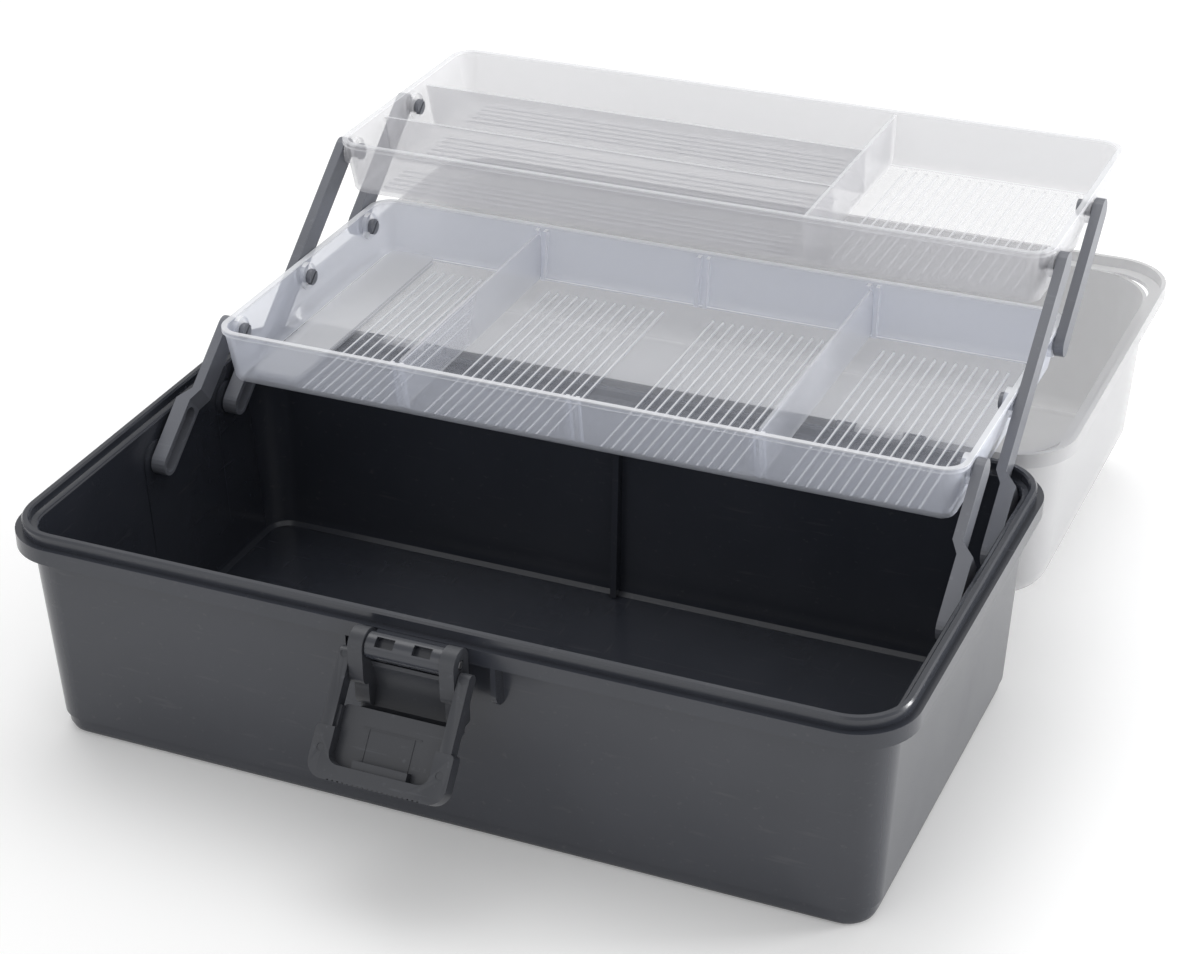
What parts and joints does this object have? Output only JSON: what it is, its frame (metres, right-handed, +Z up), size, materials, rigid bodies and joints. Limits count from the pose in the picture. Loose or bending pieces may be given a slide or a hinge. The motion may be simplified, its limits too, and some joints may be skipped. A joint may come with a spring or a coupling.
{
  "type": "toolbox with tray",
  "caption": "Open plastic toolbox: deep bin with a lid folded back, and clear trays raised on swing arms, with a draw latch in front.",
  "frame": {"origin": "centre of the bin's flat underside, on the surface it stands on", "axes": "+Z up, -Y towards the front with the latch, +X to the right of someone facing the front"},
  "size_m": [0.4, 0.5002, 0.1804],
  "materials": {
    "bin_plastic": "dark slate grey, smooth moulded, semi-gloss",
    "arm_plastic": "dark slate grey, satin moulded",
    "latch_plastic": "dark slate grey, satin moulded",
    "tray_plastic": "clear translucent, smooth moulded",
    "lid_plastic": "milky translucent, smooth moulded",
    "pin_steel": "plain turned"
  },
  "bodies": {
    "base": {"base_bin": "bin_plastic", "lid_hinge_pin_left": "pin_steel", "lid_hinge_pin_right": "pin_steel", "latch_pin": "pin_steel"},
    "lid": {"lid": "lid_plastic"},
    "handle": {"carry_handle": "arm_plastic"},
    "long_arms": {"long_arm_left": "arm_plastic", "long_arm_right": "arm_plastic"},
    "front_arms": {"front_arm_left": "arm_plastic", "front_arm_right": "arm_plastic"},
    "lower_tray": {"lower_tray": "tray_plastic", "spare_divider_1": "tray_plastic", "spare_divider_2": "tray_plastic"},
    "left_divider": {"divider_left": "tray_plastic"},
    "right_divider": {"divider_right": "tray_plastic"},
    "link_arms": {"link_arm_left": "arm_plastic", "link_arm_right": "arm_plastic"},
    "upper_tray": {"upper_tray": "tray_plastic"},
    "lever": {"latch_lever": "latch_plastic"},
    "bail": {"latch_bail": "latch_plastic"}
  },
  "joints": [
    {"name": "tray_swing", "type": "hinge", "parent": "base", "child": "long_arms", "pos_m": [0, 0.065, 0.0842], "axis": [1, 0, 0], "range_deg": [0, 119]},
    {"name": "front_arm_swing", "type": "hinge", "parent": "base", "child": "front_arms", "pos_m": [0, 0.001, 0.0842], "axis": [1, 0, 0], "range_deg": [0, 119]},
    {"name": "lower_tray_level", "type": "hinge", "parent": "long_arms", "child": "lower_tray", "pos_m": [0, 0.12055, 0.1276], "axis": [1, 0, 0], "range_deg": [-119, 0]},
    {"name": "upper_tray_level", "type": "hinge", "parent": "long_arms", "child": "upper_tray", "pos_m": [0, 0.17611, 0.17101], "axis": [1, 0, 0], "range_deg": [-119, 0]},
    {"name": "link_arm_swing", "type": "hinge", "parent": "lower_tray", "child": "link_arms", "pos_m": [0, 0.18455, 0.1276], "axis": [1, 0, 0], "range_deg": [0, 119]},
    {"name": "lid_hinge", "type": "hinge", "parent": "base", "child": "lid", "pos_m": [0, 0.1135, 0.103], "axis": [1, 0, 0], "range_deg": [0, 180]},
    {"name": "handle_fold", "type": "hinge", "parent": "lid", "child": "handle", "pos_m": [0, 0.2365, 0.0244], "axis": [1, 0, 0], "range_deg": [0, 90]},
    {"name": "latch_lever_lift", "type": "hinge", "parent": "base", "child": "lever", "pos_m": [0, -0.1182, 0.0976], "axis": [-1, 0, 0], "range_deg": [0, 75]},
    {"name": "latch_bail_swing", "type": "hinge", "parent": "lever", "child": "bail", "pos_m": [0, -0.1198, 0.0916], "axis": [1, 0, 0], "range_deg": [-142, 0]},
    {"name": "left_divider_slide", "type": "slide", "parent": "lower_tray", "child": "left_divider", "axis": [0, 0, -1], "range_m": [-0.016, 0]},
    {"name": "right_divider_slide", "type": "slide", "parent": "lower_tray", "child": "right_divider", "axis": [0, 0, -1], "range_m": [-0.016, 0]}
  ],
  "couplings": [
    {"joint": "front_arm_swing", "follows": "tray_swing", "ratio": 1},
    {"joint": "lower_tray_level", "follows": "tray_swing", "ratio": -1},
    {"joint": "upper_tray_level", "follows": "tray_swing", "ratio": -1},
    {"joint": "link_arm_swing", "follows": "tray_swing", "ratio": 1},
    {"joint": "lid_hinge", "follows": "tray_swing", "ratio": 1.5126}
  ]
}
